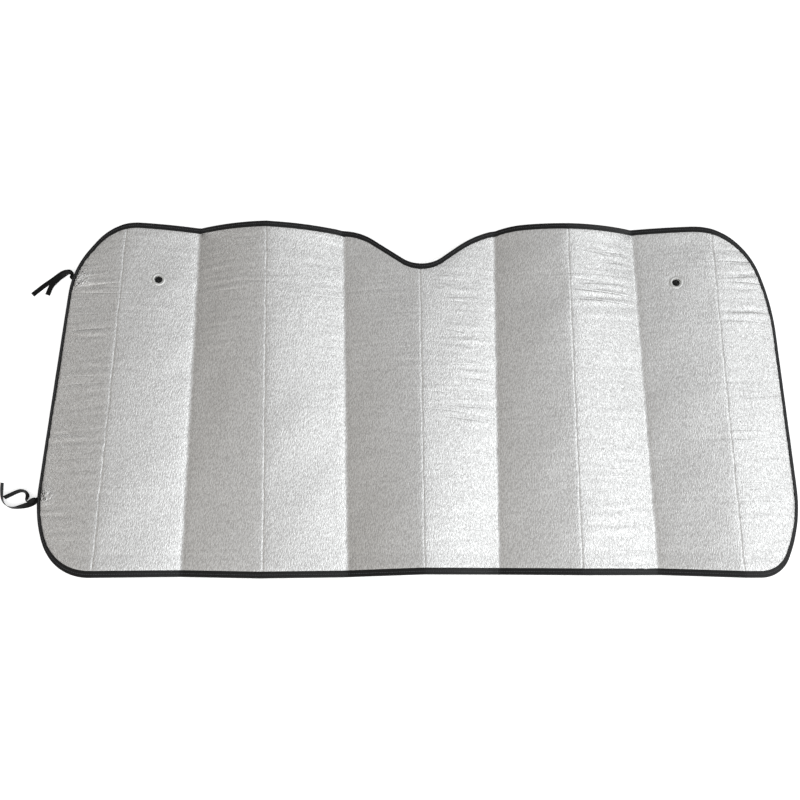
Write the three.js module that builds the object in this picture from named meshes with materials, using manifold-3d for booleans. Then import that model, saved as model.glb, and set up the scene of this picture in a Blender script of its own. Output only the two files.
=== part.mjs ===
// Windscreen sunshade: a foil-faced foam sheet creased into an accordion, laid open on a floor.
// Millimetres. X runs across the shade to the right, Y up its height, Z up from the floor.
// The origin lies on the floor, under the middle of the whole outline.

import * as THREE from 'three';
import { mergeVertices } from 'three/addons/utils/BufferGeometryUtils.js';
import Module from 'manifold-3d';

const wasm = await Module();
wasm.setup();

// Driving dimensions: outline of the shade, seen from above as it lies

const reachLeft = 713;
const reachRight = 714.5;
const headInsetLeft = 25;
const headInsetRight = 6.5;
const shadeHeight = 690;
// Each corner is cut off straight and rounded at both ends of the cut. Foot left, foot right, head right, head left.
const cornerCutAcross = [48.5, 57, 53.5, 79.5];
const cornerCutUp = [112.5, 96, 157.5, 95.5];
const cornerEndRadius = [108, 71.5, 140, 114];
const cornerSideRadius = [215, 247, 406, 158];
const notchFromMiddle = 5;
const notchDepth = 81.5;
const notchFlankAngle = THREE.MathUtils.degToRad(36.6);
const notchBottomRadius = 67;
const notchShoulderRadius = [130, 229];

// Driving dimensions: accordion folds

const creasePitch = 147;
const sheetThickness = 3;
const pressedThickness = 1.2;
const valleyStripWidth = 6;
const ridgeStripWidth = 3;
const pressedShoulder = 5;
const crownShare = 0.4;
// Height of the five ridges, left to right, at the foot and at the head of the shade.
const ridgeHeightFoot = [36, 25, 52, 34, 29];
const ridgeHeightHead = [25, 46, 20, 45, 23];
// How far each of the nine creases has crept sideways from an even pitch, left to right.
const creaseCreepFoot = [-1, 1, 6, 10, 2, -5, -6, -4, -3];
const creaseCreepHead = [5, -3, -9, -6, 0, 7, 1, -3, 5];
// How far the foot and the head edge have crept up the shade at each crease.
const edgeCreepFoot = [0.3, 1.4, -1.9, -0.5, 3.9, 3.2, 1.4, 1.3, -4.1];
const edgeCreepHead = [-0.1, -1.1, -5.7, -3.6, -4, 4.7, -6, 1.7, 0.4];

// Driving dimensions: binding tape, folded round the whole edge and sewn

const tapeThickness = 0.6;
const tapeCover = 10;
const seatGap = 0.3;
const liftedStrip = 20;
const liftRun = 20;

// Driving dimensions: eyelets in the two upper corners

const eyeletFromSide = [171.2, 178.8];
const eyeletFromHead = 118;
const eyeletBoreRadius = 8;
const eyeletWall = 0.6;
const flangeRadius = 13;
const flangeHeight = 1.3;
const washerRadius = 12.5;
const washerThickness = 0.6;
const lipThickness = 0.6;
const lipWidth = 1.6;
const crimpedThickness = 2;

// Driving dimensions: the two tie ribbons sewn to the left edge

const ribbonWidth = 10;
const ribbonThickness = 0.7;
const ribbonTuck = 6;
const ribbonExit = 4;
const ribbonSpacing = 1.2;
const floorClearance = 0.1;
const upperTieY = 575;
const lowerTieY = 145;

// Mesh fineness

const panelSteps = 4;
const arcStep = THREE.MathUtils.degToRad(6.5);
const ribbonSteps = 3;
const roundSides = 32;
const domeSteps = 6;
const nearlyThere = 1e-3;

// Outline

// Value of one of the crease lists, with the end values repeated past the outermost crease.
function listed(list, index) {
  return list[THREE.MathUtils.clamp(index, 0, list.length - 1)];
}

// Rounds each corner of a polygon with its own radius and keeps the outward normal of every point.
// Radii that don't fit on an edge together are made smaller in the same proportion.
function roundedOutline(corners) {
  const count = corners.length;
  const edges = corners.map(({ at }, i) => corners[(i + 1) % count].at.clone().sub(at));
  const bends = corners.map(({ radius }, i) => {
    const inward = edges[(i + count - 1) % count].clone().normalize();
    const outward = edges[i].clone().normalize();
    const angle = Math.acos(inward.dot(outward));
    return { inward, turn: inward.cross(outward) < 0 ? -1 : 1, angle, reach: radius * Math.tan(angle / 2) };
  });
  const room = edges.map((edge, i) => edge.length() / (bends[i].reach + bends[(i + 1) % count].reach));
  return corners.flatMap((corner, i) => {
    const { inward, turn, angle, reach } = bends[i];
    const fit = Math.min(1, room[i], room[(i + count - 1) % count]);
    const radius = corner.radius * fit;
    const normal = new THREE.Vector2(inward.y, -inward.x);
    const centre = corner.at.clone().addScaledVector(inward, -reach * fit).addScaledVector(normal, -turn * radius);
    const steps = Math.max(2, Math.round(angle / arcStep));
    return Array.from({ length: steps + 1 }, (_, k) => {
      const facing = normal.clone().rotateAround(new THREE.Vector2(), turn * angle * k / steps);
      return { at: centre.clone().addScaledVector(facing, turn * radius), normal: facing };
    });
  });
}

// Adds a point wherever the outline crosses a crease of even pitch.
function cutAtCreases(points) {
  return points.flatMap((point, i) => {
    const next = points[(i + 1) % points.length].at;
    const crossed = [];
    for (let crease = -outerCrease; crease <= outerCrease; crease += 1) {
      const share = (crease * creasePitch - point.at.x) / (next.x - point.at.x);
      if (share > nearlyThere && share < 1 - nearlyThere) {
        crossed.push(share);
      }
    }
    crossed.sort((a, b) => a - b);
    return [point, ...crossed.map((share) => ({ at: point.at.clone().lerp(next, share), normal: point.normal }))];
  });
}

// How far the sheet has crept up at a place, from the lists for the foot and the head edge.
function edgeCreep({ x, y }) {
  const crease = x / creasePitch + middleCrease;
  const left = Math.floor(crease);
  const [foot, head] = [edgeCreepFoot, edgeCreepHead].map((list) => (
    THREE.MathUtils.lerp(listed(list, left), listed(list, left + 1), crease - left)));
  return THREE.MathUtils.lerp(foot, head, THREE.MathUtils.clamp(y / shadeHeight, 0, 1));
}

const outerCrease = Math.ceil(Math.max(reachLeft, reachRight) / creasePitch) + 1;
const middleCrease = (creaseCreepFoot.length - 1) / 2;
const notchRise = notchBottomRadius * (1 / Math.cos(notchFlankAngle) - 1);
const notchPoint = shadeHeight - notchDepth - notchRise;
const notchMouth = (notchDepth + notchRise) / Math.tan(notchFlankAngle);

// The two corners of the polygon at one cut-off corner of the shade, the one on the side edge last.
function cutCorner(x, y, index) {
  const towardsMiddle = -Math.sign(x);
  const towardsHead = y > 0 ? -1 : 1;
  return [
    { at: new THREE.Vector2(x + towardsMiddle * cornerCutAcross[index], y), radius: cornerEndRadius[index] },
    { at: new THREE.Vector2(x, y + towardsHead * cornerCutUp[index]), radius: cornerSideRadius[index] },
  ];
}

const notch = [[notchMouth, shadeHeight], [0, notchPoint], [-notchMouth, shadeHeight]];
const notchRadii = [notchShoulderRadius[1], notchBottomRadius, notchShoulderRadius[0]];
const outline = cutAtCreases(roundedOutline([
  ...cutCorner(-reachLeft, 0, 0).reverse(),
  ...cutCorner(reachRight, 0, 1),
  ...cutCorner(reachRight - headInsetRight, shadeHeight, 2).reverse(),
  ...notch.map(([x, y], i) => ({ at: new THREE.Vector2(notchFromMiddle + x, y), radius: notchRadii[i] })),
  ...cutCorner(headInsetLeft - reachLeft, shadeHeight, 3),
]));
outline.forEach(({ at }) => {
  at.y += edgeCreep(at);
});

// X of the left or right edge at a height up the shade, with side -1 or 1.
function edgeAt(side, y) {
  const crossings = outline.flatMap(({ at: a }, i) => {
    const b = outline[(i + 1) % outline.length].at;
    return (a.y - y) * (b.y - y) <= 0 && a.y !== b.y ? [THREE.MathUtils.mapLinear(y, a.y, b.y, a.x, b.x)] : [];
  });
  return side * Math.max(...crossings.map((x) => side * x));
}

// Folded sheet

const tapeReach = seatGap + tapeThickness;

function isRidge(crease) {
  return crease % 2 === 0;
}

function creaseX(crease, y) {
  const drift = THREE.MathUtils.mapLinear(y, 0, shadeHeight,
    listed(creaseCreepFoot, crease + middleCrease), listed(creaseCreepHead, crease + middleCrease));
  return crease * creasePitch + drift;
}

function ridgeHeight(crease, y) {
  const index = (crease + middleCrease) / 2;
  return THREE.MathUtils.mapLinear(y, 0, shadeHeight,
    listed(ridgeHeightFoot, index), listed(ridgeHeightHead, index));
}

// The sheet is lifted by the tape under its head and foot, and lies on its valleys in between.
function tapeLift(y) {
  const inside = Math.min(y, shadeHeight - y) - liftedStrip;
  return tapeReach * THREE.MathUtils.clamp(1 - inside / liftRun, 0, 1);
}

// Height of the sheet's middle surface at a distance from a ridge towards its neighbouring valley.
function panelZ(ridge, distance, width, y) {
  const run = Math.min(distance / (width - valleyStripWidth / 2), 1);
  const fall = crownShare * run + (1 - crownShare) * run * run;
  return ridgeHeight(ridge, y) * (1 - fall) + pressedThickness / 2 + tapeLift(y);
}

// Stations across one panel, from its left crease to its right one, as [x, middle z, half thickness].
function panelStations(leftCrease, y) {
  const left = creaseX(leftCrease, y);
  const width = creaseX(leftCrease + 1, y) - left;
  const ridgeOnLeft = isRidge(leftCrease);
  const ridge = ridgeOnLeft ? leftCrease : leftCrease + 1;
  const nearStrip = ridgeStripWidth / 2;
  const farStrip = width - valleyStripWidth / 2;
  const distances = [0, nearStrip];
  for (let k = 0; k <= panelSteps; k += 1) {
    const share = k / panelSteps;
    distances.push(THREE.MathUtils.lerp(nearStrip + pressedShoulder, farStrip - pressedShoulder, share));
  }
  distances.push(farStrip, width);
  const stations = distances.map((distance) => {
    const pressed = distance <= nearStrip || distance >= farStrip;
    const half = (pressed ? pressedThickness : sheetThickness) / 2;
    const x = ridgeOnLeft ? left + distance : left + width - distance;
    return [x, panelZ(ridge, distance, width, y), half];
  });
  return ridgeOnLeft ? stations : stations.reverse();
}

function sheetSection(y) {
  const section = [];
  for (let crease = -outerCrease; crease < outerCrease; crease += 1) {
    const stations = panelStations(crease, y);
    section.push(...(crease === -outerCrease ? stations : stations.slice(1)));
  }
  return section;
}

// Middle height and slope of the sheet at any place on it.
function sheetAt(x, y) {
  const section = sheetSection(y);
  let i = 0;
  while (i < section.length - 2 && section[i + 1][0] < x) {
    i += 1;
  }
  const [x0, z0] = section[i];
  const [x1, z1] = section[i + 1];
  return { z: THREE.MathUtils.mapLinear(x, x0, x1, z0, z1), slope: (z1 - z0) / (x1 - x0) };
}

// Solids

function toManifold(geometry) {
  geometry.deleteAttribute('uv');
  geometry.deleteAttribute('normal');
  const merged = mergeVertices(geometry, 1e-4);
  return new wasm.Manifold(new wasm.Mesh({
    numProp: 3,
    vertProperties: Float32Array.from(merged.getAttribute('position').array),
    triVerts: Uint32Array.from(merged.getIndex().array),
  }));
}

function toGeometry(solid) {
  const mesh = solid.getMesh();
  const geometry = new THREE.BufferGeometry();
  geometry.setAttribute('position', new THREE.BufferAttribute(Float32Array.from(mesh.vertProperties), 3));
  geometry.setIndex(new THREE.BufferAttribute(Uint32Array.from(mesh.triVerts), 1));
  geometry.computeVertexNormals();
  return geometry;
}

// Closed solid through rings of equal point count, each ring clockwise when seen from the first one.
function loftedSolid(rings, capTriangles) {
  const count = rings[0].length;
  const positions = rings.flat(2);
  const index = [];
  for (let r = 0; r < rings.length - 1; r += 1) {
    for (let i = 0; i < count; i += 1) {
      const a = r * count + i;
      const b = r * count + (i + 1) % count;
      index.push(a, b, b + count, a, b + count, a + count);
    }
  }
  const last = (rings.length - 1) * count;
  capTriangles.forEach(([a, b, c]) => {
    index.push(a, c, b, last + a, last + b, last + c);
  });
  const geometry = new THREE.BufferGeometry();
  geometry.setAttribute('position', new THREE.Float32BufferAttribute(positions, 3));
  geometry.setIndex(index);
  geometry.computeVertexNormals();
  return geometry;
}

// The folded sheet before trimming, thickened by an extra margin above and below.
function foldedSlab(margin) {
  const runOut = tapeCover + tapeReach;
  const inner = liftedStrip + liftRun;
  const rows = [-runOut, liftedStrip, inner];
  const middleRows = 5;
  for (let k = 1; k < middleRows; k += 1) {
    rows.push(THREE.MathUtils.lerp(inner, shadeHeight - inner, k / middleRows));
  }
  rows.push(shadeHeight - inner, shadeHeight - liftedStrip, shadeHeight + runOut);
  const rings = rows.map((y) => {
    const section = sheetSection(y);
    const upper = section.map(([x, z, half]) => [x, y, z + half + margin]);
    const lower = section.map(([x, z, half]) => [x, y, z - half - margin]);
    return [...upper, ...lower.reverse()];
  });
  const count = rings[0].length;
  const caps = [];
  for (let i = 0; i < count / 2 - 1; i += 1) {
    const under = count - 1 - i;
    caps.push([i, i + 1, under - 1], [i, under - 1, under]);
  }
  return toManifold(loftedSolid(rings, caps));
}

// Upright block with the shade's outline, grown or shrunk by an offset.
function outlineBlock(offset) {
  const shape = new THREE.Shape(outline.map(({ at, normal }) => at.clone().addScaledVector(normal, offset)));
  const below = 2 * sheetThickness + tapeReach;
  const tall = Math.max(...ridgeHeightFoot, ...ridgeHeightHead) + 3 * below;
  const block = new THREE.ExtrudeGeometry(shape, { depth: tall, bevelEnabled: false });
  block.translate(0, 0, -below);
  return toManifold(block);
}

// Turns a piece made upright round Z = 0 to sit square on the sheet at an eyelet.
function seatOnSheet(side) {
  const y = shadeHeight - eyeletFromHead;
  const x = edgeAt(side, y) - side * eyeletFromSide[side < 0 ? 0 : 1];
  const { z, slope } = sheetAt(x, y);
  return { position: new THREE.Vector3(x, y, z), tilt: -Math.atan(slope) };
}

// Upright disc or bar, moved to an eyelet's place on the sheet, between two heights above its middle.
function eyeletCutter(side, radius, low, high) {
  const cutter = new THREE.CylinderGeometry(radius, radius, high - low, roundSides);
  cutter.rotateX(Math.PI / 2);
  cutter.translate(0, 0, (high + low) / 2);
  const { position, tilt } = seatOnSheet(side);
  cutter.rotateY(tilt);
  cutter.translate(position.x, position.y, position.z);
  return toManifold(cutter);
}

// The foam is crimped flat between flange and washer, round a hole that clears the barrel.
function shadeSheet() {
  const clear = 2 * sheetThickness;
  const seat = crimpedThickness / 2;
  const crimpRadius = flangeRadius + seatGap;
  let sheet = foldedSlab(0).intersect(outlineBlock(0));
  [-1, 1].forEach((side) => {
    sheet = sheet
      .subtract(eyeletCutter(side, eyeletBoreRadius + eyeletWall + seatGap, -clear, clear))
      .subtract(eyeletCutter(side, crimpRadius, seat, clear))
      .subtract(eyeletCutter(side, crimpRadius, -clear, -seat));
  });
  return toGeometry(sheet);
}

function edgeBinding() {
  const outside = foldedSlab(tapeReach).intersect(outlineBlock(tapeReach));
  const inside = foldedSlab(seatGap).intersect(outlineBlock(seatGap));
  return toGeometry(outside.subtract(inside).subtract(outlineBlock(-tapeCover)));
}

// Eyelet: domed flange above, barrel through the sheet, lip rolled out under the washer.
function eyelet() {
  const seat = crimpedThickness / 2 + seatGap;
  const barrel = eyeletBoreRadius + eyeletWall;
  const lipTop = -seat - washerThickness - seatGap;
  const profile = [
    [eyeletBoreRadius, lipTop - lipThickness],
    [barrel + lipWidth, lipTop - lipThickness],
    [barrel + lipWidth, lipTop],
    [barrel, lipTop],
    [barrel, seat],
    [flangeRadius, seat],
  ];
  const domeCentre = (flangeRadius + eyeletBoreRadius) / 2;
  const domeHalf = (flangeRadius - eyeletBoreRadius) / 2;
  for (let k = 1; k <= domeSteps; k += 1) {
    const angle = Math.PI * k / domeSteps;
    profile.push([domeCentre + domeHalf * Math.cos(angle), seat + eyeletWall / 2 + flangeHeight * Math.sin(angle)]);
  }
  profile.push(profile[0]);
  const geometry = new THREE.LatheGeometry(profile.map(([r, z]) => new THREE.Vector2(r, z)), roundSides);
  geometry.rotateX(Math.PI / 2);
  return geometry;
}

function eyeletWasher() {
  const top = -crimpedThickness / 2 - seatGap;
  const inner = eyeletBoreRadius + eyeletWall + seatGap;
  const profile = [
    [inner, top - washerThickness],
    [washerRadius, top - washerThickness],
    [washerRadius, top],
    [inner, top],
    [inner, top - washerThickness],
  ];
  const geometry = new THREE.LatheGeometry(profile.map(([r, z]) => new THREE.Vector2(r, z)), roundSides);
  geometry.rotateX(Math.PI / 2);
  return geometry;
}

// Ribbon swept through stations, each a centre point and the direction of the ribbon's width.
function ribbon(stations) {
  const centres = new THREE.CatmullRomCurve3(stations.map(({ at }) => new THREE.Vector3(...at)));
  const widths = new THREE.CatmullRomCurve3(stations.map(({ across }) => new THREE.Vector3(...across)));
  const count = (stations.length - 1) * ribbonSteps;
  const rings = [];
  for (let k = 0; k <= count; k += 1) {
    const share = k / count;
    const centre = centres.getPoint(share);
    const along = centres.getTangent(share);
    const across = widths.getPoint(share);
    across.addScaledVector(along, -across.dot(along)).setLength(ribbonWidth / 2);
    const face = along.clone().cross(across).setLength(ribbonThickness / 2);
    const ring = [[1, 1], [-1, 1], [-1, -1], [1, -1]].map(([w, f]) => centre.clone()
      .addScaledVector(across, w)
      .addScaledVector(face, f)
      .toArray());
    rings.push(ring);
  }
  return loftedSolid(rings, [[0, 1, 2], [0, 2, 3]]);
}

// Underside of the binding at a place near the edge, where a ribbon layer lies against it.
function tuckedPlace(x, y, layer) {
  const { z, slope } = sheetAt(x, y);
  const below = sheetThickness / 2 + tapeReach + seatGap + ribbonThickness / 2;
  return { at: [x, y, z - below - layer * ribbonSpacing], slope };
}

// One ribbon with its middle folded and sewn under the edge, and both tails hanging out to the floor.
// Tails are lists of [place from the edge, width direction], from the edge outwards, chosen by hand.
function tie(edgeY, { tack, heading, upperTail, lowerTail }) {
  const edgeX = edgeAt(-1, edgeY);
  const along = new THREE.Vector2(Math.cos(heading), Math.sin(heading));
  const exitReach = -(tack[0] + ribbonExit) / along.x;
  const tucked = (reach, layer) => {
    const x = edgeX + tack[0] + reach * along.x;
    const y = edgeY + tack[1] + reach * along.y;
    const { at, slope } = tuckedPlace(x, y, layer);
    return { at, across: [along.y, -along.x, along.y * slope] };
  };
  const fromEdge = ([[dx, dy, z], across]) => ({
    at: [edgeX + dx, edgeY + dy, z + floorClearance],
    across,
  });
  return ribbon([
    ...upperTail.map(fromEdge).reverse(),
    tucked(exitReach, 0),
    tucked(ribbonTuck, 0),
    tucked(0, 0),
    tucked(-ribbonTuck, 0),
    tucked(-ribbonTuck - ribbonSpacing / 2, 0.5),
    tucked(-ribbonTuck, 1),
    tucked(0, 1),
    tucked(ribbonTuck, 1),
    tucked(exitReach, 1),
    ...lowerTail.map(fromEdge),
  ]);
}

const upperTie = {
  tack: [6.7, -2.8],
  heading: THREE.MathUtils.degToRad(137),
  upperTail: [
    [[-4.8, 11.5, 7], [0.8, 0.3, 0.52]],
    [[-8, 15, 6.6], [0.5, 0.4, 0.77]],
    [[-13.5, 15.5, 6.2], [0, 0.45, 0.89]],
    [[-20, 12, 5.4], [-0.35, 0.6, 0.72]],
    [[-28.5, 6.2, 3.8], [-0.6, 0.75, 0.2]],
    [[-37, -2.5, 2.5], [-0.72, 0.68, 0.05]],
    [[-44.5, -12, 1.9], [-0.9, 0.4, 0]],
    [[-51, -30, 0.5], [-0.97, 0.22, 0]],
  ],
  lowerTail: [
    [[-4.8, 13, 5.3], [0.75, 0.3, 0.58]],
    [[-8.5, 17.5, 5.6], [0.4, 0.4, 0.82]],
    [[-14.5, 18, 5.1], [-0.1, 0.45, 0.89]],
    [[-22, 15.5, 4], [-0.35, 0.65, 0.67]],
    [[-31.5, 10.8, 1.8], [-0.55, 0.8, 0.2]],
    [[-45, 0.6, 0.8], [-0.6, 0.79, 0]],
    [[-58, -9.5, 0.4], [-0.62, 0.78, 0]],
    [[-80.3, -29.8, 0.4], [-0.65, 0.76, 0]],
  ],
};

const lowerTie = {
  tack: [10, 4.3],
  heading: THREE.MathUtils.degToRad(213.5),
  upperTail: [
    [[-8.5, -5, 5.4], [-0.5, 0.7, 0.5]],
    [[-15, -8, 6.6], [-0.25, 0.5, 0.83]],
    [[-18.8, -8, 7.4], [0.3, 0.2, 0.93]],
    [[-20, -3, 7], [0.85, 0, 0.53]],
    [[-19.6, 2.5, 6.4], [0.92, -0.1, 0.38]],
    [[-22.3, 8, 6], [0.7, 0.35, 0.62]],
    [[-27, 11.6, 5.6], [0.3, 0.5, 0.81]],
    [[-33.5, 12.6, 5.2], [0, 0.5, 0.87]],
    [[-41.5, 10.2, 4.8], [-0.15, 0.45, 0.88]],
    [[-53, 4.7, 4.6], [-0.2, 0.45, 0.87]],
    [[-63, -0.3, 4.6], [-0.22, 0.44, 0.87]],
  ],
  lowerTail: [
    [[-9, -8.5, 1], [-0.5, 0.86, 0.02]],
    [[-16, -12.2, 1.7], [-0.45, 0.86, 0.2]],
    [[-24, -14.8, 3], [-0.3, 0.8, 0.5]],
    [[-32.5, -17.2, 4.3], [-0.15, 0.55, 0.82]],
    [[-41.5, -18.8, 4.9], [-0.02, 0.32, 0.95]],
    [[-50.5, -17.8, 5], [0.05, 0.25, 0.97]],
    [[-59, -13.2, 5], [0.1, 0.15, 0.98]],
    [[-65, -5.5, 5], [0.08, 0.08, 0.99]],
    [[-67.8, 5, 5], [-0.04, 0, 1]],
    [[-68.9, 16.5, 5], [-0.12, 0, 0.99]],
    [[-69.5, 27.5, 5], [-0.14, 0, 0.99]],
  ],
};

// Assembly

const foil = new THREE.MeshStandardMaterial({ color: 0xc4c4c2, roughness: 0.38, metalness: 0.9 });
const tape = new THREE.MeshStandardMaterial({ color: 0x151515, roughness: 0.8, metalness: 0 });
const metal = new THREE.MeshStandardMaterial({ color: 0xd8d8d8, roughness: 0.25, metalness: 1 });
const ribbonCloth = new THREE.MeshStandardMaterial({ color: 0x121212, roughness: 0.75, metalness: 0 });

const group = new THREE.Group();

function add(name, geometry, material) {
  const mesh = new THREE.Mesh(geometry, material);
  mesh.name = name;
  group.add(mesh);
  return mesh;
}

add('shade_sheet', shadeSheet(), foil);
add('edge_binding', edgeBinding(), tape);
add('tie_upper', tie(upperTieY, upperTie), ribbonCloth);
add('tie_lower', tie(lowerTieY, lowerTie), ribbonCloth);

[['left', -1], ['right', 1]].forEach(([name, side]) => {
  const { position, tilt } = seatOnSheet(side);
  [['eyelet', eyelet()], ['eyelet_washer', eyeletWasher()]].forEach(([piece, geometry]) => {
    const mesh = add(`${piece}_${name}`, geometry, metal);
    mesh.position.copy(position);
    mesh.rotation.y = tilt;
  });
});

// The origin goes to the floor under the middle of the whole object, ties included.
const bounds = new THREE.Box3().setFromObject(group, true);
const middle = bounds.getCenter(new THREE.Vector3());
group.position.set(-middle.x, -middle.y, -bounds.min.z);

export default group;
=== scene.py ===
"""Looks of a windscreen sunshade: foil laminate in accordion folds, bound with black tape, laid on a floor.

Metres throughout. Places on the shade are given from its own foot line and its own middle line, as the
folded sheet was laid out, and moved into the frame by to_frame.
"""

import math

import bmesh
import bpy
import numpy as np
from mathutils import Matrix, Vector


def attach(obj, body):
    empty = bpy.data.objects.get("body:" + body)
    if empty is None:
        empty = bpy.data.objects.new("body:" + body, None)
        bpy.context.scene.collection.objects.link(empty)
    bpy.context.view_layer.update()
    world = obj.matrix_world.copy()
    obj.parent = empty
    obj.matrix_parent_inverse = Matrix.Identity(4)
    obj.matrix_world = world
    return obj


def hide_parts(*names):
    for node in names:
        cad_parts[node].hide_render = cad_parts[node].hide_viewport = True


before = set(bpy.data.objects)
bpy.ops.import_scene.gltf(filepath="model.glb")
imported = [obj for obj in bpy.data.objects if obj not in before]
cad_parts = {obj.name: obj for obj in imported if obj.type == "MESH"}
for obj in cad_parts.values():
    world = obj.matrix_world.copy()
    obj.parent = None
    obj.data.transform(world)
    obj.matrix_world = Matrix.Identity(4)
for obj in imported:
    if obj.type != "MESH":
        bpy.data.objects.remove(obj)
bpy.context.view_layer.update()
MM = 0.001

# Layout of the shade, as its solids have it

# Where the middle line and the foot line of the shade lie in the frame.
MIDDLE_X = 33.242 * MM
FOOT_Y = -343.8 * MM

REACH_LEFT = 713 * MM
REACH_RIGHT = 714.5 * MM
HEAD_INSET_LEFT = 25 * MM
HEAD_INSET_RIGHT = 6.5 * MM
SHADE_HEIGHT = 690 * MM
# Corners: foot left, foot right, head right, head left.
CORNER_CUT_ACROSS = np.array([48.5, 57, 53.5, 79.5]) * MM
CORNER_CUT_UP = np.array([112.5, 96, 157.5, 95.5]) * MM
CORNER_END_RADIUS = np.array([108, 71.5, 140, 114]) * MM
CORNER_SIDE_RADIUS = np.array([215, 247, 406, 158]) * MM
NOTCH_FROM_MIDDLE = 5 * MM
NOTCH_DEPTH = 81.5 * MM
NOTCH_FLANK_ANGLE = math.radians(36.6)
NOTCH_BOTTOM_RADIUS = 67 * MM
NOTCH_SHOULDER_RADIUS = np.array([130, 229]) * MM

CREASE_PITCH = 147 * MM
SHEET_THICKNESS = 3 * MM
PRESSED_THICKNESS = 1.2 * MM
VALLEY_STRIP_WIDTH = 6 * MM
PRESSED_SHOULDER = 5 * MM
CROWN_SHARE = 0.4
RIDGE_HEIGHT_FOOT = np.array([36, 25, 52, 34, 29]) * MM
RIDGE_HEIGHT_HEAD = np.array([25, 46, 20, 45, 23]) * MM
CREASE_CREEP_FOOT = np.array([-1, 1, 6, 10, 2, -5, -6, -4, -3]) * MM
CREASE_CREEP_HEAD = np.array([5, -3, -9, -6, 0, 7, 1, -3, 5]) * MM
EDGE_CREEP_FOOT = np.array([0.3, 1.4, -1.9, -0.5, 3.9, 3.2, 1.4, 1.3, -4.1]) * MM
EDGE_CREEP_HEAD = np.array([-0.1, -1.1, -5.7, -3.6, -4, 4.7, -6, 1.7, 0.4]) * MM
OUTER_CREASE = 5
MIDDLE_CREASE = 4

TAPE_THICKNESS = 0.6 * MM
TAPE_COVER = 10 * MM
SEAT_GAP = 0.3 * MM
LIFTED_STRIP = 20 * MM
LIFT_RUN = 20 * MM

EYELET_FROM_SIDE = np.array([171.2, 178.8]) * MM
EYELET_FROM_HEAD = 118 * MM
EYELET_BORE_RADIUS = 8 * MM
EYELET_WALL = 0.6 * MM
FLANGE_RADIUS = 13 * MM
FLANGE_HEIGHT = 1.3 * MM
WASHER_RADIUS = 12.5 * MM
WASHER_THICKNESS = 0.6 * MM
LIP_THICKNESS = 0.6 * MM
LIP_WIDTH = 1.6 * MM
CRIMPED_THICKNESS = 2 * MM

RIBBON_WIDTH = 10 * MM
RIBBON_THICKNESS = 0.7 * MM
RIBBON_TUCK = 6 * MM
RIBBON_EXIT = 4 * MM
RIBBON_SPACING = 1.2 * MM
FLOOR_CLEARANCE = 0.1 * MM


def to_frame(x, y, z):
    """Points of the frame for places on the shade, one row each."""
    x, y, z = np.broadcast_arrays(x, y, z)
    return np.stack([x + MIDDLE_X, y + FOOT_Y, z], axis=-1)


def smooth_step(low, high, value):
    """0 below low, 1 above high, and a cubic ease between them. low may be the larger one."""
    share = np.clip((value - low) / (high - low), 0, 1)
    return share * share * (3 - 2 * share)


def mixed(first, second, share):
    """First where share is 0, second where it is 1, and evenly between."""
    return first * (1 - share) + second * share


# Camera

IMAGE_WIDTH = 800
FOCAL_PIXELS = 753
SENSOR_WIDTH = 36
CAMERA_FROM_MIDDLE = -74 * MM
CAMERA_FROM_FOOT = 0 * MM
CAMERA_ABOVE_FLOOR = 1420 * MM
CAMERA_LEAN = math.radians(13.19)
CAMERA_SWING = math.radians(-1.39)
CAMERA_ROLL = math.radians(-0.23)


def make_camera():
    """A camera looking down from above the shade's foot, leaning towards its head."""
    lens = bpy.data.cameras.new("camera")
    lens.sensor_width = SENSOR_WIDTH
    lens.lens = FOCAL_PIXELS / IMAGE_WIDTH * SENSOR_WIDTH
    camera = bpy.data.objects.new("camera", lens)
    bpy.context.scene.collection.objects.link(camera)
    turn = (
        Matrix.Rotation(CAMERA_SWING, 4, "Y")
        @ Matrix.Rotation(CAMERA_LEAN, 4, "X")
        @ Matrix.Rotation(CAMERA_ROLL, 4, "Z")
    )
    place = to_frame(CAMERA_FROM_MIDDLE, CAMERA_FROM_FOOT, CAMERA_ABOVE_FLOOR)
    camera.matrix_world = Matrix.Translation(Vector(place.tolist())) @ turn
    bpy.context.scene.camera = camera


make_camera()

# Light, colours, nodes and materials


def link_light(name, size_x, size_y, radiance, colour, place, target):
    """A rectangular area light of even radiance, turned to face its target."""
    light = bpy.data.lights.new(name, "AREA")
    light.shape = "RECTANGLE"
    light.size = size_x
    light.size_y = size_y
    light.energy = radiance * math.pi * size_x * size_y
    light.color = colour
    lamp = bpy.data.objects.new(name, light)
    lamp.location = place
    lamp.rotation_euler = (Vector(target) - Vector(place)).to_track_quat("-Z", "Y").to_euler()
    bpy.context.scene.collection.objects.link(lamp)


def linear(hex_colour):
    """Linear RGB with alpha 1 for an sRGB hex value."""
    channels = [int(hex_colour[i:i + 2], 16) / 255 for i in (1, 3, 5)]
    return [c / 12.92 if c <= 0.04045 else ((c + 0.055) / 1.055) ** 2.4 for c in channels] + [1.0]


def add_node(tree, kind, sockets=None, **settings):
    """One node with its settings. Inputs in sockets are set, or linked from an output or a node's first."""
    node = tree.nodes.new(kind)
    for key, value in settings.items():
        setattr(node, key, value)
    for key, value in (sockets or {}).items():
        if isinstance(value, bpy.types.Node):
            value = value.outputs[0]
        if isinstance(value, bpy.types.NodeSocket):
            tree.links.new(value, node.inputs[key])
        else:
            node.inputs[key].default_value = value
    return node


def new_material(name, dress, *colours, **finish):
    """A node material that ends in the surface that dress makes."""
    material = bpy.data.materials.new(name)
    material.use_nodes = True
    tree = material.node_tree
    tree.nodes.clear()
    surface = dress(tree, *colours, **finish)
    add_node(tree, "ShaderNodeOutputMaterial", {"Surface": surface})
    return material


# Room

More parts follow.
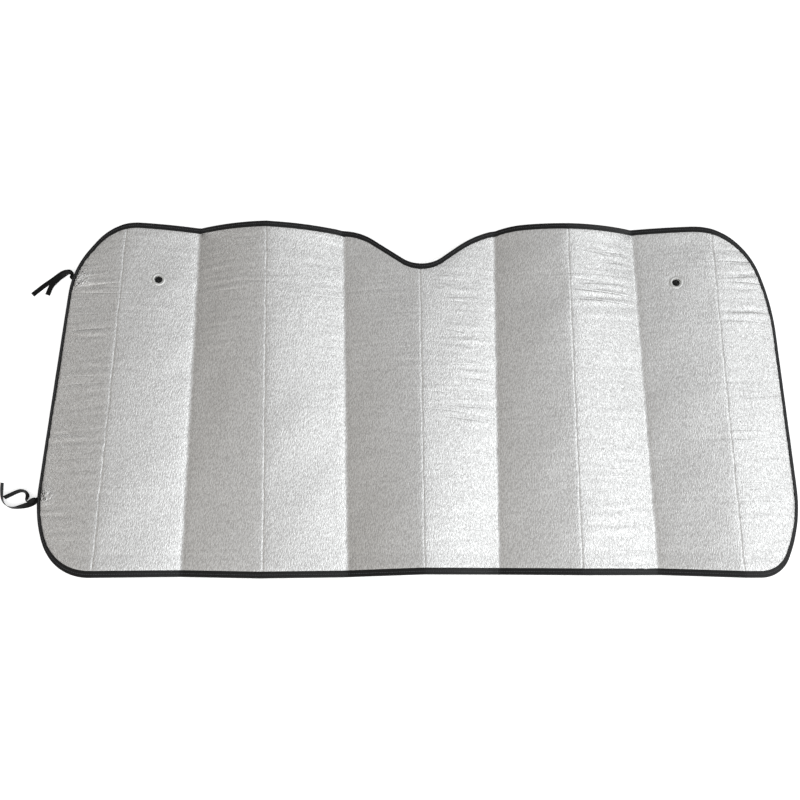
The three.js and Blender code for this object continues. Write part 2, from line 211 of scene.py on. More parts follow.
ROOM_WARM = (0.495, 0.48, 0.46, 1.0)
ROOM_COOL = (0.725, 0.73, 0.735, 1.0)
WALL_LIGHT = (1.84, 1.88, 1.90, 1.0)
# Fades of the room by direction: an axis, two places along it, and the values that they give.
ROOM_FADES = {
    "cool": ("X", -0.8, 0.1, 0.0, 1.0),
    "wall from the left": ("X", 0.44, 0.78, 0.0, 1.0),
    "wall from below": ("Z", 0.25, 0.5, 0.0, 1.0),
    "past the head": ("Y", -0.8, 0.8, 1.3, 0.7),
    "over the floor": ("Z", 0.0, 0.4, 0.5, 1.0),
}


def make_world():
    """A pale room: warm and dim at the left, cool to the right, with a bright wall high up there.

    It is dimmer past the shade's head than behind its foot, and it dims towards the floor all round.
    """
    world = bpy.data.worlds.new("studio")
    world.use_nodes = True
    tree = world.node_tree
    direction = add_node(tree, "ShaderNodeTexCoord")
    split = add_node(tree, "ShaderNodeSeparateXYZ", {"Vector": direction.outputs["Generated"]})
    fade = {}
    for name, (axis, low, high, at_low, at_high) in ROOM_FADES.items():
        fade[name] = add_node(tree, "ShaderNodeMapRange", {
            "Value": split.outputs[axis], "From Min": low, "From Max": high,
            "To Min": at_low, "To Max": at_high,
        })
    room = add_node(tree, "ShaderNodeMix", {
        "Factor": fade["cool"], "A": ROOM_WARM, "B": ROOM_COOL,
    }, data_type="RGBA")
    wall = add_node(tree, "ShaderNodeMath", {
        0: fade["wall from the left"], 1: fade["wall from below"],
    }, operation="MULTIPLY")
    lit = add_node(tree, "ShaderNodeMix", {
        "Factor": wall, "A": room.outputs["Result"], "B": WALL_LIGHT,
    }, data_type="RGBA")
    strength = add_node(tree, "ShaderNodeMath", {
        0: fade["past the head"], 1: fade["over the floor"],
    }, operation="MULTIPLY")
    background = tree.nodes["Background"]
    tree.links.new(lit.outputs["Result"], background.inputs["Color"])
    tree.links.new(strength.outputs[0], background.inputs["Strength"])
    bpy.context.scene.world = world
    bpy.context.scene.view_settings.view_transform = "Standard"


make_world()
link_light("front softbox", size_x=6.0, size_y=3.0, radiance=1.15, colour=(1.0, 1.0, 1.0),
           place=(0.3, -4.2, 3.0), target=(0.0, 0.0, 0.0))

# Folded sheet as a height over the floor

CREASE_WAVER = 0.3 * MM
# The waver's waves, as length over a full turn of 2 pi and shift from crease to crease.
WAVER_WAVES = [(11 * MM, 2.1), (6.2 * MM, 4.7), (19 * MM, -1.0)]


def foot_to_head(foot, head, y):
    """Values that go evenly from those at the foot to those at the head, one row per value."""
    share = y / SHADE_HEIGHT
    return np.multiply.outer(foot, 1 - share) + np.multiply.outer(head, share)


def crease_lines(y):
    """X of the eleven creases at heights y, one row per crease, with a slight waver along each."""
    creases = np.arange(-OUTER_CREASE, OUTER_CREASE + 1)
    listed = np.clip(creases + MIDDLE_CREASE, 0, len(CREASE_CREEP_FOOT) - 1)
    creep = foot_to_head(CREASE_CREEP_FOOT[listed], CREASE_CREEP_HEAD[listed], y)
    creases = creases.reshape((-1,) + (1,) * np.ndim(y))
    waver = sum(np.sin(y / length + shift * creases) for length, shift in WAVER_WAVES)
    return creases * CREASE_PITCH + creep + CREASE_WAVER * waver


def ridge_heights(y):
    """Height of the crest at each crease, one row per crease, 0 at the valleys."""
    heights = np.zeros((2 * OUTER_CREASE + 1,) + np.shape(y))
    heights[1::2] = foot_to_head(RIDGE_HEIGHT_FOOT, RIDGE_HEIGHT_HEAD, y)
    return heights


def pick(rows, index):
    """The entry of each column of rows at index."""
    return np.take_along_axis(rows, index[None], axis=0)[0]


def across_panel(x, y):
    """Distance from the panel's ridge, the panel's width and its ridge height, at any places."""
    lines = crease_lines(y)
    left = np.clip((x[None] >= lines).sum(axis=0) - 1, 0, 2 * OUTER_CREASE - 1)
    left_x = pick(lines, left)
    width = pick(lines, left + 1) - left_x
    ridge_on_left = left % 2 == 1
    distance = np.where(ridge_on_left, x - left_x, left_x + width - x)
    heights = ridge_heights(y)
    height = np.where(ridge_on_left, pick(heights, left), pick(heights, left + 1))
    return distance, width, height


def tape_lift(y):
    """The sheet is lifted by the tape under its head and foot, and lies on its valleys in between."""
    inside = np.minimum(y, SHADE_HEIGHT - y) - LIFTED_STRIP
    return (SEAT_GAP + TAPE_THICKNESS) * np.clip(1 - inside / LIFT_RUN, 0, 1)


def arch_height(x, y):
    """Middle of the sheet: each panel falls from its ridge by shares of its run and of its square."""
    distance, width, height = across_panel(x, y)
    run = np.clip(distance / (width - VALLEY_STRIP_WIDTH / 2), 0, 1)
    fall = CROWN_SHARE * run + (1 - CROWN_SHARE) * run ** 2
    return height * (1 - fall) + PRESSED_THICKNESS / 2 + tape_lift(y)


# Outline


def straight(start, end, step):
    """Points from start to end, about a step apart, without the two themselves."""
    share = np.linspace(0, 1, max(1, round(np.linalg.norm(end - start) / step)) + 1)[1:-1, None]
    return mixed(start, end, share)


def rounded_outline(corners, step):
    """Points and outward normals of a polygon with rounded corners, its arcs and straights cut to step."""
    points, normals = [], []
    for i, (corner, radius) in enumerate(corners):
        before = corners[i - 1][0]
        after = corners[(i + 1) % len(corners)][0]
        inward = (corner - before) / np.linalg.norm(corner - before)
        outward = (after - corner) / np.linalg.norm(after - corner)
        turn = 1 if inward[0] * outward[1] - inward[1] * outward[0] > 0 else -1
        angle = math.acos(float(inward @ outward))
        start = corner - inward * radius * math.tan(angle / 2)
        normal = np.array([inward[1], -inward[0]])
        centre = start - turn * radius * normal
        sweep = turn * np.linspace(0, angle, max(2, round(radius * angle / step)) + 1)
        facing = np.stack([
            normal[0] * np.cos(sweep) - normal[1] * np.sin(sweep),
            normal[0] * np.sin(sweep) + normal[1] * np.cos(sweep),
        ], axis=-1)
        arc = centre + turn * radius * facing
        if points:
            points.append(straight(points[-1][-1], arc[0], step))
            normals.append(np.repeat(facing[:1], len(points[-1]), axis=0))
        points.append(arc)
        normals.append(facing)
    points.append(straight(points[-1][-1], points[0][0], step))
    normals.append(np.repeat(normals[0][:1], len(points[-1]), axis=0))
    return np.concatenate(points), np.concatenate(normals)


def shade_outline(step):
    """Outline of the shade, anticlockwise from its left side: rounded cut corners and the notch."""
    ends = np.array([
        [-REACH_LEFT, 0], [REACH_RIGHT, 0],
        [REACH_RIGHT - HEAD_INSET_RIGHT, SHADE_HEIGHT], [HEAD_INSET_LEFT - REACH_LEFT, SHADE_HEIGHT],
    ])
    across = ends - np.sign(ends[:, :1]) * np.stack([CORNER_CUT_ACROSS, 0 * CORNER_CUT_ACROSS], axis=-1)
    up = ends + np.where(ends[:, 1:] > 0, -1, 1) * np.stack([0 * CORNER_CUT_UP, CORNER_CUT_UP], axis=-1)
    rise = NOTCH_BOTTOM_RADIUS * (1 / math.cos(NOTCH_FLANK_ANGLE) - 1)
    mouth = (NOTCH_DEPTH + rise) / math.tan(NOTCH_FLANK_ANGLE)
    low = SHADE_HEIGHT - NOTCH_DEPTH - rise
    corners = [
        (up[0], CORNER_SIDE_RADIUS[0]), (across[0], CORNER_END_RADIUS[0]),
        (across[1], CORNER_END_RADIUS[1]), (up[1], CORNER_SIDE_RADIUS[1]),
        (up[2], CORNER_SIDE_RADIUS[2]), (across[2], CORNER_END_RADIUS[2]),
        ((NOTCH_FROM_MIDDLE + mouth, SHADE_HEIGHT), NOTCH_SHOULDER_RADIUS[1]),
        ((NOTCH_FROM_MIDDLE, low), NOTCH_BOTTOM_RADIUS),
        ((NOTCH_FROM_MIDDLE - mouth, SHADE_HEIGHT), NOTCH_SHOULDER_RADIUS[0]),
        (across[3], CORNER_END_RADIUS[3]), (up[3], CORNER_SIDE_RADIUS[3]),
    ]
    points, normals = rounded_outline([(np.array(at, float), radius) for at, radius in corners], step)
    crease = points[:, 0] / CREASE_PITCH + MIDDLE_CREASE
    at = np.arange(len(EDGE_CREEP_FOOT))
    share = np.clip(points[:, 1] / SHADE_HEIGHT, 0, 1)
    foot, head = (np.interp(crease, at, creep) for creep in (EDGE_CREEP_FOOT, EDGE_CREEP_HEAD))
    points[:, 1] += mixed(foot, head, share)
    return points, normals


OUTLINE_STEP = 3 * MM
PLACES_AT_ONCE = 4000
outline_points, outline_normals = shade_outline(OUTLINE_STEP)


def edge_distance(x, y):
    """Distance inwards from the outline at any places, negative outside, and the nearest outline point."""
    places = np.stack([np.ravel(x), np.ravel(y)], axis=-1)
    nearest = np.empty(len(places), dtype=int)
    for first in range(0, len(places), PLACES_AT_ONCE):
        part = places[first:first + PLACES_AT_ONCE]
        squared = ((part[:, None, :] - outline_points[None]) ** 2).sum(axis=-1)
        nearest[first:first + PLACES_AT_ONCE] = squared.argmin(axis=1)
    inward = ((outline_points[nearest] - places) * outline_normals[nearest]).sum(axis=-1)
    return inward.reshape(np.shape(x)), nearest.reshape(np.shape(x))


# Unevenness of the foil, as sums of waves with seeded directions and phases

rng = np.random.default_rng(7)


def wave_field(count, wave_x, wave_y, spread, turn=math.pi):
    """Random waves whose lengths along X and Y lie round the given ones: returns wave numbers and phases.

    Their directions lie within turn of straight up the shade.
    """
    scale = np.exp(rng.uniform(-spread, spread, count))
    angle = math.pi / 2 + rng.uniform(-turn, turn, count)
    kx = 2 * math.pi / wave_x * np.cos(angle) * scale
    ky = 2 * math.pi / wave_y * np.sin(angle) * scale
    return kx, ky, rng.uniform(0, 2 * math.pi, count)


def waves(field, x, y):
    """Sum of the waves at any places, with a typical size of 1."""
    kx, ky, phase = field
    total = np.zeros(np.shape(x))
    for one_x, one_y, one_phase in zip(kx, ky, phase):
        total += np.sin(one_x * x + one_y * y + one_phase)
    return total / math.sqrt(len(kx) / 2)


SLOW_WAVES = wave_field(14, 150 * MM, 190 * MM, 0.5)
CROSS_WRINKLES = wave_field(26, 150 * MM, 17 * MM, 0.35, 0.8)
WRINKLE_PATCHES = wave_field(10, 120 * MM, 90 * MM, 0.4)

BUCKLE_SIZE = 0.55 * MM
WRINKLE_SIZE = 0.6 * MM
FAINT_WEAR = 0.12
# Wrinkled places, as [from the middle, from the foot, half width, half height] in mm, and strength.
WRINKLED_PLACES = np.array([
    [-655, 330, 75, 330, 0.85],
    [-640, 560, 70, 70, 0.9],
    [365, 560, 70, 90, 1.0],
    [650, 560, 70, 90, 1.0],
    [75, 400, 80, 260, 0.45],
    [650, 220, 80, 220, 0.5],
    [-80, 470, 80, 150, 0.3],
    [-370, 580, 75, 130, 0.8],
    [-220, 600, 75, 110, 0.2],
    [370, 120, 75, 160, 0.5],
])


def worn_share(x, y):
    """How worn the foil is, from 0 to about 1.3: bell curves over the wrinkled places, times slow patches."""
    worn = np.full(np.shape(x), FAINT_WEAR)
    for middle, foot, half_width, half_height, strength in WRINKLED_PLACES:
        reach = ((x / MM - middle) / half_width) ** 2 + ((y / MM - foot) / half_height) ** 2
        worn = worn + strength * np.exp(-1.2 * reach)
    return worn * (0.6 + 0.4 * np.tanh(1.5 * waves(WRINKLE_PATCHES, x, y)))


def unevenness(x, y):
    """How far the foil stands off its clean arch: slow buckles, and cross wrinkles where the shade is worn.

    Both die out at the tape, at the ridge, where the run across the panel is 0, and at the valley.
    """
    distance, width, _ = across_panel(x, y)
    run = distance / width
    inward, _ = edge_distance(x, y)
    slow = BUCKLE_SIZE * waves(SLOW_WAVES, x, y) * smooth_step(8 * MM, 40 * MM, inward)
    slow = slow * smooth_step(1.0, 0.75, run) * smooth_step(0.0, 0.12, run)
    cross = WRINKLE_SIZE * waves(CROSS_WRINKLES, x, y) * worn_share(x, y)
    cross = cross * smooth_step(6 * MM, 16 * MM, inward)
    cross = cross * smooth_step(1.0, 0.93, run) * smooth_step(0.0, 0.03, run)
    return slow + cross


def edge_at(side, y):
    """X of the left or right edge at a height up the shade, with side -1 or 1."""
    on_side = outline_normals[:, 0] * side > 0.5
    on_side &= outline_points[:, 0] * side > REACH_LEFT / 2
    order = np.argsort(outline_points[on_side, 1])
    return float(np.interp(y, outline_points[on_side, 1][order], outline_points[on_side, 0][order]))


def seat_planes(side):
    """Place, height and cross slope of the crimped patch round the left or right eyelet, side -1 or 1."""
    inset = EYELET_FROM_SIDE[0 if side < 0 else 1]
    x = np.array(edge_at(side, SHADE_HEIGHT - EYELET_FROM_HEAD) - side * inset)
    y = np.array(SHADE_HEIGHT - EYELET_FROM_HEAD)
    step = 10 * MM
    slope = (arch_height(x + step, y) - arch_height(x - step, y)) / (2 * step)
    return float(x), float(y), float(arch_height(x, y)), float(slope)


EYELET_SEATS = {"left": seat_planes(-1), "right": seat_planes(1)}
CRIMP_EDGE = 13.3 * MM
CRIMP_FADE = 19 * MM
PINCHED_HALF = 0.8 * MM
RIDGE_GROOVE_DEPTH = 1.2 * MM
RIDGE_GROOVE_WIDTH = 1.6 * MM
VALLEY_NICK_DEPTH = 0.6 * MM
RIDGE_WOBBLE = wave_field(8, 60 * MM, 60 * MM, 0.6)


def half_thickness(x, y):
    """Half the foam's thickness, pressed thin in a strip along each valley."""
    distance, width, _ = across_panel(x, y)
    strip = VALLEY_STRIP_WIDTH / 2
    pressed = smooth_step(strip + PRESSED_SHOULDER, strip, width - distance)
    return SHEET_THICKNESS / 2 - (SHEET_THICKNESS - PRESSED_THICKNESS) / 2 * pressed


def sheet_faces(x, y):
    """Heights of the sheet's two faces: arch, unevenness, pressed creases, pinched edge and crimps."""
    distance, width, _ = across_panel(x, y)
    middle = arch_height(x, y) + unevenness(x, y)
    half = half_thickness(x, y)
    wobble = waves(RIDGE_WOBBLE, 0 * x, y)
    groove = RIDGE_GROOVE_DEPTH * (0.95 + 0.15 * np.tanh(wobble))
    nick = VALLEY_NICK_DEPTH * np.clip(1 - (width - distance) / (VALLEY_STRIP_WIDTH / 2), 0, 1)
    upper = half - nick - groove * np.exp(-(distance / RIDGE_GROOVE_WIDTH) ** 2)
    inward, _ = edge_distance(x, y)
    pinch = smooth_step(TAPE_COVER + 5 * MM, TAPE_COVER - 2 * MM, inward)
    upper = mixed(upper, np.minimum(upper, PINCHED_HALF), pinch)
    lower = mixed(half, np.minimum(half, PINCHED_HALF), pinch)
    for centre_x, centre_y, centre_z, slope in EYELET_SEATS.values():
        reach = np.hypot(x - centre_x, y - centre_y)
        crimp = smooth_step(CRIMP_FADE, CRIMP_EDGE, reach)
        middle = mixed(middle, centre_z + slope * (x - centre_x), crimp)
        upper = mixed(upper, CRIMPED_THICKNESS / 2, crimp)
        lower = mixed(lower, CRIMPED_THICKNESS / 2, crimp)
    return middle + upper, middle - lower


# Floor

FLOOR_HALF = 6.0
FLOOR_GLOW = 0.5
FLOOR_TONE = 0.91
# Painted shade: a dark disc without glow on the floor under each eyelet, for the shadow under the sheet seen
# through its hole.
PAINTED_SHADE_RADIUS = 20 * MM
PAINTED_SHADE_TONE = 0.05


def dress_floor(tree):
    """White paper, matt, with a faint glow of its own, and painted shade: dark, unlit discs under the eyelet
    holes.
    """
    place = add_node(tree, "ShaderNodeTexCoord").outputs["Object"]
    reaches = []
    for x, y, _, _ in EYELET_SEATS.values():
        under = to_frame(x, y, 0 * x).tolist()
        reach = add_node(tree, "ShaderNodeVectorMath", {0: place, 1: under}, operation="DISTANCE")
        reaches.append(reach.outputs["Value"])
    nearest = add_node(tree, "ShaderNodeMath", {0: reaches[0], 1: reaches[1]}, operation="MINIMUM")
    # Glow and tone both fall to the painted shade inside the discs under the eyelets.
    faded = []
    for dark, pale in ((0.0, FLOOR_GLOW), (PAINTED_SHADE_TONE, FLOOR_TONE)):
        faded.append(add_node(tree, "ShaderNodeMapRange", {
            "Value": nearest, "From Min": PAINTED_SHADE_RADIUS, "From Max": 2 * PAINTED_SHADE_RADIUS,
            "To Min": dark, "To Max": pale,
        }))
    return add_node(tree, "ShaderNodeBsdfPrincipled", {
        "Emission Strength": faded[0], "Emission Color": (1.0, 1.0, 1.0, 1.0),
        "Base Color": faded[1], "Roughness": 1.0, "Specular IOR Level": 0.0,
    })


def make_floor():
    """A plain square on the ground, which is no part of the shade."""
    corners = [(x * FLOOR_HALF, y * FLOOR_HALF, 0) for x, y in ((-1, -1), (1, -1), (1, 1), (-1, 1))]
    mesh = bpy.data.meshes.new("floor")
    mesh.from_pydata(corners, [], [(0, 1, 2, 3)])
    mesh.materials.append(new_material("matt white paper, painted shade under eyelets", dress_floor))
    floor = bpy.data.objects.new("floor", mesh)
    bpy.context.scene.collection.objects.link(floor)
    return floor


floor = make_floor()

# Meshes


def new_piece(name, points, quads, material):
    """A smooth mesh object at the origin from points of the frame and its faces, with one material."""
    mesh = bpy.data.meshes.new(name)
    quads = np.asarray(quads, dtype=np.int32)
    sides = quads.shape[1]
    mesh.vertices.add(len(points))
    mesh.vertices.foreach_set("co", np.ascontiguousarray(points, dtype=np.float32).ravel())
    mesh.loops.add(quads.size)
    mesh.loops.foreach_set("vertex_index", quads.ravel())
    mesh.polygons.add(len(quads))
    mesh.polygons.foreach_set("loop_start", np.arange(len(quads), dtype=np.int32) * sides)
    mesh.update(calc_edges=True)
    mesh.validate()
    mesh.polygons.foreach_set("use_smooth", np.full(len(mesh.polygons), True))
    mesh.materials.append(material)
    piece = bpy.data.objects.new(name, mesh)
    bpy.context.scene.collection.objects.link(piece)
    return piece


def ring_quads(rings, count, closed_rings=True):
    """Quads between consecutive rings of count points each, wrapping round each ring."""
    here = np.arange(rings if closed_rings else rings - 1)[:, None] * count
    there = (here + count) % (rings * count)
    i = np.arange(count)[None]
    beside = (i + 1) % count
    return np.stack([here + i, here + beside, there + beside, there + i], axis=-1).reshape(-1, 4)


def panel_stations():
    """Shares across a panel from ridge to valley, close together at both creases and at the eyelets' line."""
    near = [0, 0.9, 2.0, 4.0]
    between = [13.5, 23, 32.5, 42, 51.5, 59.5, 65.5, 70.3, 75.1, 80.1, 86, 94, 104, 115, 126.5]
    far = CREASE_PITCH / MM - np.array([9, 6, 3, 0])
    return np.concatenate([near, between, far]) * MM / CREASE_PITCH


SHEET_ROWS = 200
WORN_ATTRIBUTE = "worn"
EDGE_INSET = 1.0 * MM


def make_foil(material):
    """The sheet: a grid that follows the creases, trimmed to the outline and the eyelet holes, two-faced.

    Columns lie at fixed shares of each panel, so creases are grid lines. Points past the rim are drawn back
    onto it, cells wholly past it are dropped, and the open rim is walled between the two faces.
    """
    stations = panel_stations()
    shares = []
    for panel in range(2 * OUTER_CREASE):
        ridge_on_left = panel % 2 == 1
        across = stations if ridge_on_left else 1 - stations[::-1]
        shares.append(panel + (across if panel == 0 else across[1:]))
    column = np.concatenate(shares)
    rows = np.linspace(0, SHADE_HEIGHT, SHEET_ROWS + 1)
    lines = crease_lines(rows)
    panel = np.clip(column.astype(int), 0, 2 * OUTER_CREASE - 1)
    x = lines[panel] + (lines[panel + 1] - lines[panel]) * (column - panel)[:, None]
    y = np.broadcast_to(rows, x.shape).copy()
    x, y, outside = trim_to_rim(x, y)
    upper, lower = sheet_faces(x, y)
    count_x, count_y = x.shape
    index = np.arange(count_x * count_y).reshape(count_x, count_y)
    cells = np.stack([index[:-1, :-1], index[1:, :-1], index[1:, 1:], index[:-1, 1:]], axis=-1).reshape(-1, 4)
    cells = cells[~outside.ravel()[cells].all(axis=1)]
    edges = np.concatenate([cells[:, [0, 1]], cells[:, [1, 2]], cells[:, [2, 3]], cells[:, [3, 0]]])
    keys = np.sort(edges, axis=1)
    _, inverse, uses = np.unique(keys, axis=0, return_inverse=True, return_counts=True)
    rim = edges[uses[inverse.ravel()] == 1]
    total = count_x * count_y
    walls = np.stack([rim[:, 1], rim[:, 0], rim[:, 0] + total, rim[:, 1] + total], axis=-1)
    quads = np.concatenate([cells, cells[:, ::-1] + total, walls])
    points = np.concatenate([
        to_frame(x, y, upper).reshape(-1, 3),
        to_frame(x, y, lower).reshape(-1, 3),
    ])
    used, compact = np.unique(quads, return_inverse=True)
    foil = new_piece("foil_sheet", points[used], compact.reshape(quads.shape), material)
    worn = foil.data.attributes.new(WORN_ATTRIBUTE, "FLOAT", "POINT")
    worn.data.foreach_set("value", np.tile(worn_share(x, y).ravel(), 2)[used].astype(np.float32))
    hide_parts("shade_sheet")
    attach(foil, "root")
    return foil


def trim_to_rim(x, y):
    """Draws points past the rim back onto it: the outline, drawn in a little, and the eyelet holes."""
    inward, nearest = edge_distance(x, y)
    past = inward < EDGE_INSET
    x = np.where(past, outline_points[nearest, 0] - outline_normals[nearest, 0] * EDGE_INSET, x)
    y = np.where(past, outline_points[nearest, 1] - outline_normals[nearest, 1] * EDGE_INSET, y)
    hole_radius = EYELET_BORE_RADIUS + EYELET_WALL + SEAT_GAP
    for centre_x, centre_y, _, _ in EYELET_SEATS.values():
        reach = np.hypot(x - centre_x, y - centre_y)
        inside = reach < hole_radius
        grow = np.where(inside, hole_radius / np.maximum(reach, 0.1 * MM), 1)
        x = np.where(inside, centre_x + (x - centre_x) * grow, x)
        y = np.where(inside, centre_y + (y - centre_y) * grow, y)
        past = past | inside
    return x, y, past


TAPE_BEND_STEPS = 7
TAPE_BEND_HALF_ANGLE = math.radians(65)
TAPE_BEND_RADIUS = 1.5 * MM
TAPE_BEND_CENTRE = 0.6 * MM
SIDE_COVER_SHARE = 0.55


def cover_share():
    """How far the tape reaches in at each point of the outline, as a share of its cover at head and foot."""
    return 1 - (1 - SIDE_COVER_SHARE) * outline_normals[:, :1] ** 2


def tape_section():
    """Section of the folded tape: distance in from the edge and height share of its points.

    The height share is 1 along the upper leg, falls by a sine round the edge and is -1 along the lower leg.
    """
    legs = np.array([11.4, 11.1, 9.6, 7.6, 6.1, 5.6, 5.2, 4.8, 4.3, 3.2, 1.8]) * MM
    bend = np.linspace(TAPE_BEND_HALF_ANGLE, -TAPE_BEND_HALF_ANGLE, TAPE_BEND_STEPS)
    bend_distance = TAPE_BEND_CENTRE - TAPE_BEND_RADIUS * np.cos(bend)
    distance = np.concatenate([legs, bend_distance, legs[::-1]])
    share = np.concatenate([np.ones(len(legs)), np.sin(bend), -np.ones(len(legs))])
    return distance, share


STITCH_LINE = 5.2 * MM
STITCH_LENGTH = 3.3 * MM
STITCH_PITCH = 4.3 * MM
STITCH_SINK = 0.25 * MM
STITCH_SINK_WIDTH = 0.9 * MM
PUCKER_SIZE = 0.10 * MM
THREAD_RADIUS = 0.32 * MM
TAPE_PUCKERS = wave_field(9, 14 * MM, 14 * MM, 0.4)


def tape_outside(x, y, distance):
    """How far the tape's outer face stands from the sheet's middle, near the edge."""
    half = np.minimum(half_thickness(x, y), PINCHED_HALF)
    sink = STITCH_SINK * np.exp(-((distance - STITCH_LINE) / STITCH_SINK_WIDTH) ** 2)
    pucker = PUCKER_SIZE * waves(TAPE_PUCKERS, x, y) * smooth_step(STITCH_LINE, TAPE_COVER, distance)
    return half + TAPE_THICKNESS + 0.1 * MM - sink + np.clip(pucker, -2 * PUCKER_SIZE, 2 * PUCKER_SIZE)


def outline_lengths():
    """Distance along the outline to each of its points, and the whole length."""
    gaps = np.linalg.norm(np.roll(outline_points, -1, axis=0) - outline_points, axis=1)
    return np.concatenate([[0], np.cumsum(gaps)[:-1]]), float(gaps.sum())


def make_binding(material):
    """The tape: its section carried round the outline, following the sheet, sunk along its stitches."""
    distance, share = tape_section()
    distance = np.where(distance > 0, distance * cover_share(), distance)
    inset = np.maximum(distance, 0.1 * MM)
    x, y, inner_x, inner_y = (
        outline_points[:, k, None] - outline_normals[:, k, None] * reach
        for reach in (distance, inset) for k in (0, 1)
    )
    outside = tape_outside(x, y, distance / cover_share())
    middle = arch_height(x, y)
    outer = to_frame(x, y, middle + share * outside)
    inner = to_frame(inner_x, inner_y, middle + share * (outside - TAPE_THICKNESS))
    ring = np.concatenate([outer, inner[:, ::-1]], axis=1)
    count = ring.shape[1]
    binding = new_piece("binding_tape", ring.reshape(-1, 3), ring_quads(len(ring), count), material)
    along, whole = outline_lengths()
    across = np.concatenate([np.cumsum(np.abs(np.diff(distance[0], prepend=distance[0, 0])))] * 2)
    along = np.broadcast_to(along[:, None], ring.shape[:2]).reshape(-1)
    across = np.broadcast_to(across[None], ring.shape[:2]).reshape(-1)
    give_uv(binding, along, across, whole)
    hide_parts("edge_binding")
    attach(binding, "root")
    return binding


def give_uv(piece, along, across, whole=0.0):
    """A UV map in metres, along and across a strip. Past the closing seam the whole length is added."""
    mesh = piece.data
    corners = np.empty(len(mesh.loops), dtype=np.int32)
    mesh.loops.foreach_get("vertex_index", corners)
    u = along[corners].reshape(-1, 4)
    if whole:
        wraps = (u.max(axis=1) - u.min(axis=1)) > whole / 2
        u = np.where(wraps[:, None] & (u < whole / 2), u + whole, u)
    layer = mesh.uv_layers.new(name="strip")
    layer.data.foreach_set("uv", np.stack([u.ravel(), across[corners]], axis=-1).astype(np.float32).ravel())


THREAD_SIDES = 5
THREAD_STATIONS = np.array([0.0, 0.12, 0.5, 0.88, 1.0])
THREAD_SWELL = np.array([0.35, 0.9, 1.0, 0.9, 0.35])
THREAD_LOFT = np.array([-1.1, -0.2, 0.35, -0.2, -1.1])


def make_thread(name, starts, ends, up, material, radius=THREAD_RADIUS):
    """Short runs of thread, each a tube that dives into the cloth at both ends.

    Between a start and an end the centre line goes straight and is lofted along up, and the tube swells
    towards its middle. starts, ends and up hold one row per stitch.
    """
    run = ends - starts
    side = np.cross(run, up)
    side /= np.linalg.norm(side, axis=1, keepdims=True)
    lift = np.cross(side, run)
    lift /= np.linalg.norm(lift, axis=1, keepdims=True)
    angle = 2 * math.pi * np.arange(THREAD_SIDES) / THREAD_SIDES
    centre = starts[:, None] + run[:, None] * THREAD_STATIONS[None, :, None]
    centre = centre + lift[:, None] * (radius * THREAD_LOFT)[None, :, None]
    ring = (side[:, None, None] * np.cos(angle)[None, None, :, None]
            + lift[:, None, None] * np.sin(angle)[None, None, :, None])
    points = centre[:, :, None] + ring * (radius * THREAD_SWELL)[None, :, None, None]
    stations = len(THREAD_STATIONS)
    tube = ring_quads(stations, THREAD_SIDES, closed_rings=False)
    offsets = np.arange(len(starts)) * stations * THREAD_SIDES
    quads = (tube[None, :, ::-1] + offsets[:, None, None]).reshape(-1, 4)
    thread = new_piece(name, points.reshape(-1, 3), quads, material)
    close_ends(thread)
    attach(thread, "root")
    return thread


def close_ends(piece):
    """Caps the open rings of a piece."""
    shape = bmesh.new()
    shape.from_mesh(piece.data)
    bmesh.ops.holes_fill(shape, edges=[edge for edge in shape.edges if edge.is_boundary], sides=0)
    shape.to_mesh(piece.data)
    shape.free()


def make_binding_stitches(material):
    """Rows of lockstitches along the tape, one on the upper face and one underneath."""
    lengths, whole = outline_lengths()
    count = int(whole / STITCH_PITCH)
    begin = np.arange(count) * whole / count
    closed = np.append(lengths, whole)
    rows = []
    for reach in (0.0, STITCH_LENGTH):
        at = (begin + reach) % whole
        rim, face = (
            np.stack([np.interp(at, closed, np.append(column[:, k], column[0, k])) for k in (0, 1)])
            for column in (outline_points, outline_normals)
        )
        face /= np.linalg.norm(face, axis=0)
        rows.append(rim - face * STITCH_LINE * (1 - (1 - SIDE_COVER_SHARE) * face[0] ** 2))
    starts, ends, ups = [], [], []
    for side in (1, -1):
        for group, (x, y) in zip((starts, ends), rows):
            stand = tape_outside(x, y, np.full(x.shape, STITCH_LINE))
            group.append(to_frame(x, y, arch_height(x, y) + side * (stand + 0.3 * THREAD_RADIUS)))
        ups.append(np.tile([0.0, 0.0, float(side)], (count, 1)))
    starts, ends, ups = (np.concatenate(group) for group in (starts, ends, ups))
    return make_thread("binding_stitches", starts, ends, ups, material)


# Bar tacks that hold the ties: short dark stitches on the face, as [x, y] of both ends in mm.
TACK_STITCHES = np.array([
    [[-667, 590.5], [-665, 587]],
    [[-664.5, 569.8], [-667.5, 566.8]],
    [[-669.5, 565], [-672.5, 562]],
    [[-674.5, 560], [-677.5, 557]],
    [[-703, 159], [-701, 155.5]],
    [[-699.5, 153], [-701, 149.5]],
    [[-697.5, 148.5], [-699.5, 145]],
    [[-695.5, 143.5], [-698, 140.5]],
])
TACK_THREAD_RADIUS = 0.55 * MM


def make_tack_stitches(material):
    """The stitches of the bar tacks where they come through to the face of the sheet."""
    (start_x, start_y), (end_x, end_y) = TACK_STITCHES.transpose(1, 2, 0) * MM
    starts = to_frame(start_x, start_y, sheet_faces(start_x, start_y)[0] + TACK_THREAD_RADIUS / 2)
    ends = to_frame(end_x, end_y, sheet_faces(end_x, end_y)[0] + TACK_THREAD_RADIUS / 2)
    ups = np.tile([0.0, 0.0, 1.0], (len(starts), 1))
    return make_thread("tack_stitches", starts, ends, ups, material, TACK_THREAD_RADIUS)


# Eyelets


REVOLVE_SIDES = 96


